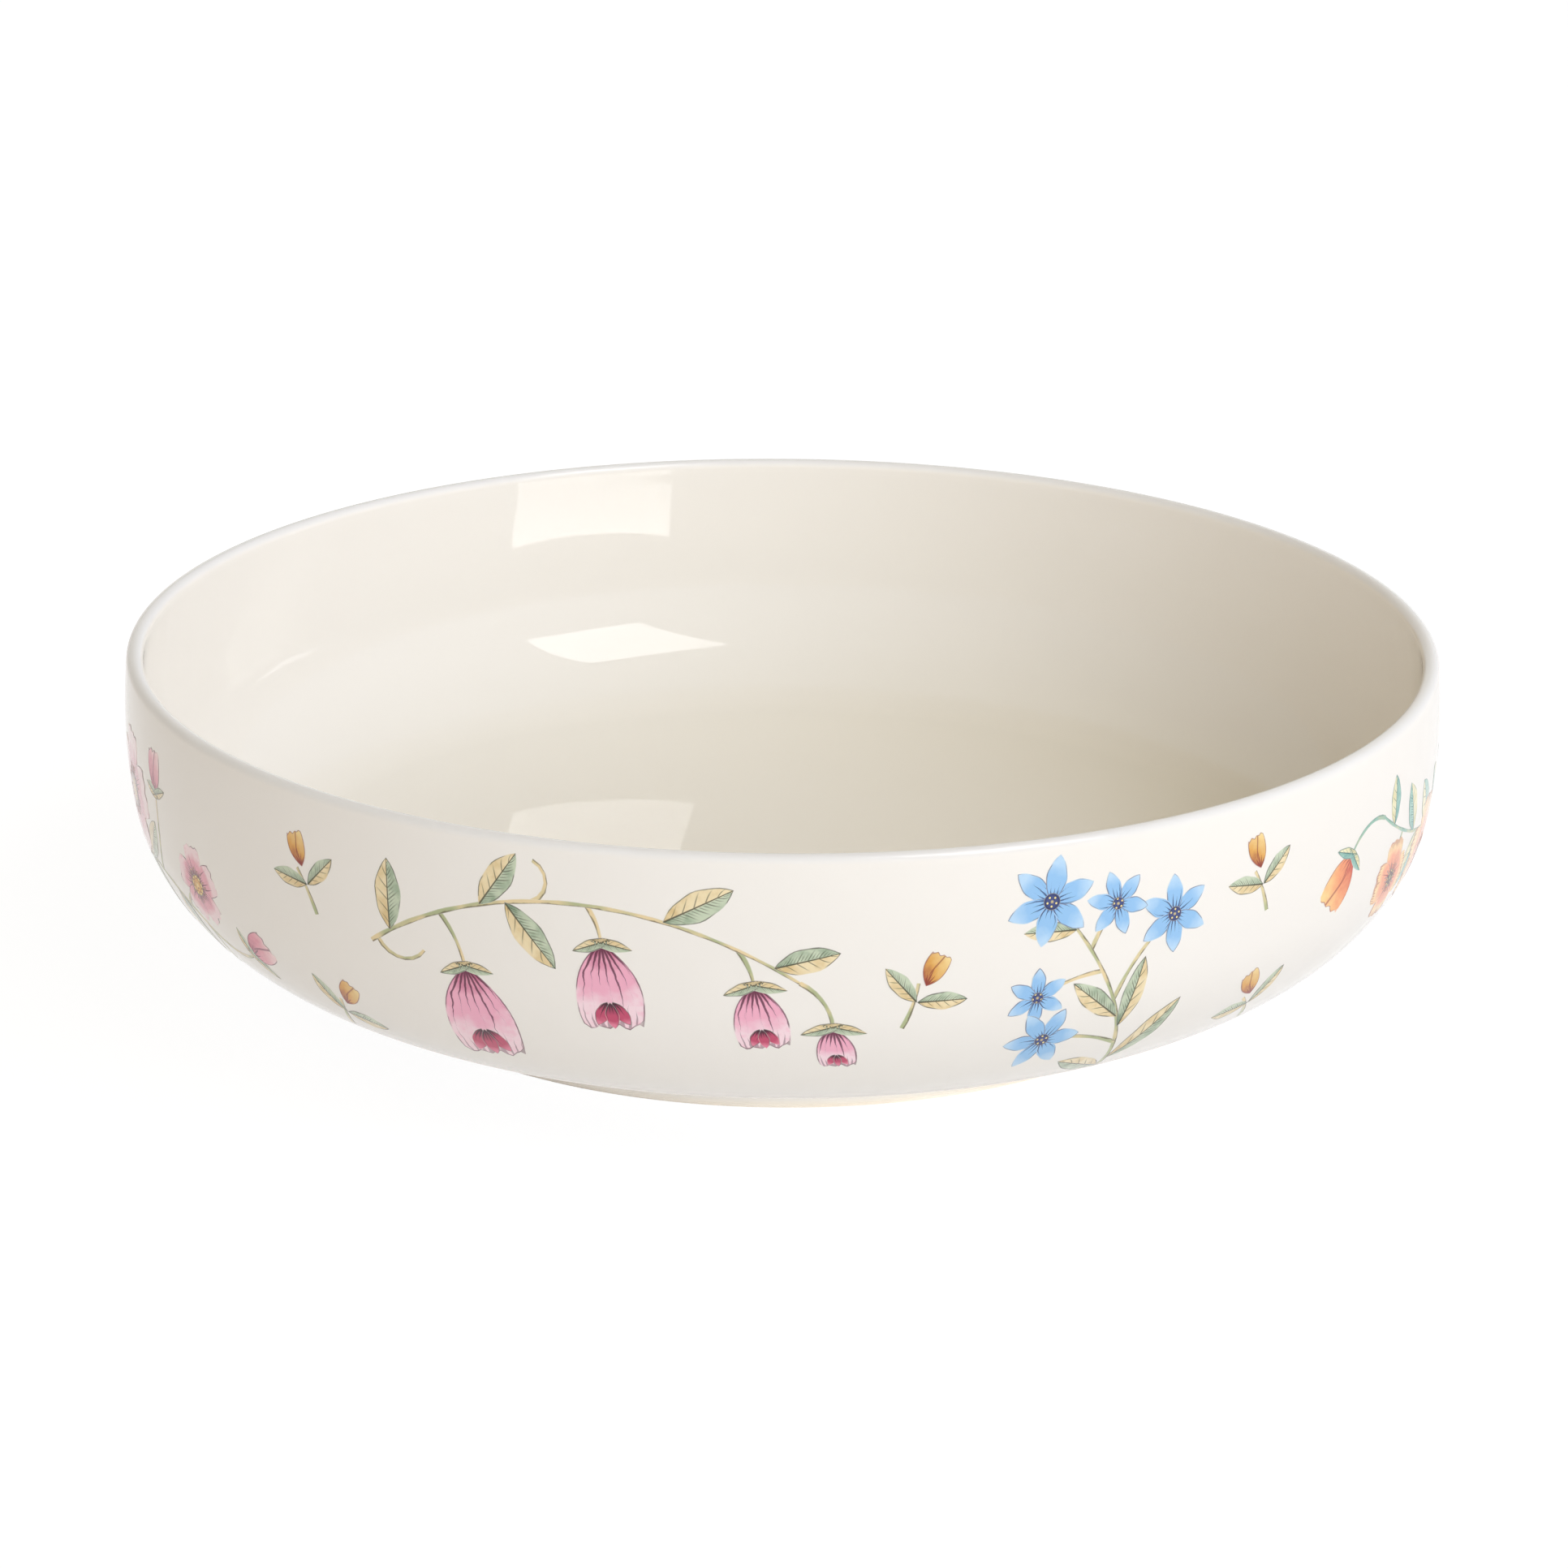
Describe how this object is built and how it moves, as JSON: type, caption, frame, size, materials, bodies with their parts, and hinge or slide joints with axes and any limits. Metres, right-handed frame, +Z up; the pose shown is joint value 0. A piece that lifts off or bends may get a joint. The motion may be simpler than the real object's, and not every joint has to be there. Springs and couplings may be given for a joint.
{
  "type": "serving bowl",
  "caption": "Low round porcelain serving bowl on a turned foot ring, glazed inside and out, with printed flower sprays round the outer wall.",
  "frame": {"origin": "middle of the foot ring's resting plane", "axes": "+Z up along the axis on which the bowl was turned"},
  "size_m": [0.2802, 0.28, 0.0695],
  "materials": {
    "biscuit": "fired clay without glaze, dry and matt",
    "glaze": "glossy cream-white glaze",
    "rose_enamel": "glossy fired enamel, dusty pink",
    "ochre_enamel": "glossy fired enamel, ochre",
    "sage_enamel": "glossy fired enamel, sage green",
    "blue_enamel": "glossy fired enamel, sky blue",
    "ink_enamel": "glossy fired enamel, near black",
    "plum_enamel": "glossy fired enamel, plum pink",
    "deep_plum_enamel": "glossy fired enamel, deep plum",
    "coral_enamel": "glossy fired enamel, coral",
    "teal_enamel": "glossy fired enamel, soft teal"
  },
  "bodies": {
    "root": {"porcelain_body": "biscuit", "glaze_coat": "glaze", "rose_petals": "rose_enamel", "rose_eyes": "ochre_enamel", "rose_foliage": "sage_enamel", "star_petals": "blue_enamel", "star_eyes": "ink_enamel", "star_foliage": "sage_enamel", "bell_petals": "plum_enamel", "bell_linings": "deep_plum_enamel", "bell_foliage": "sage_enamel", "poppy_petals": "coral_enamel", "poppy_eyes": "ink_enamel", "poppy_foliage": "teal_enamel", "sprig_buds": "ochre_enamel", "sprig_foliage": "sage_enamel"}
  },
  "joints": []
}
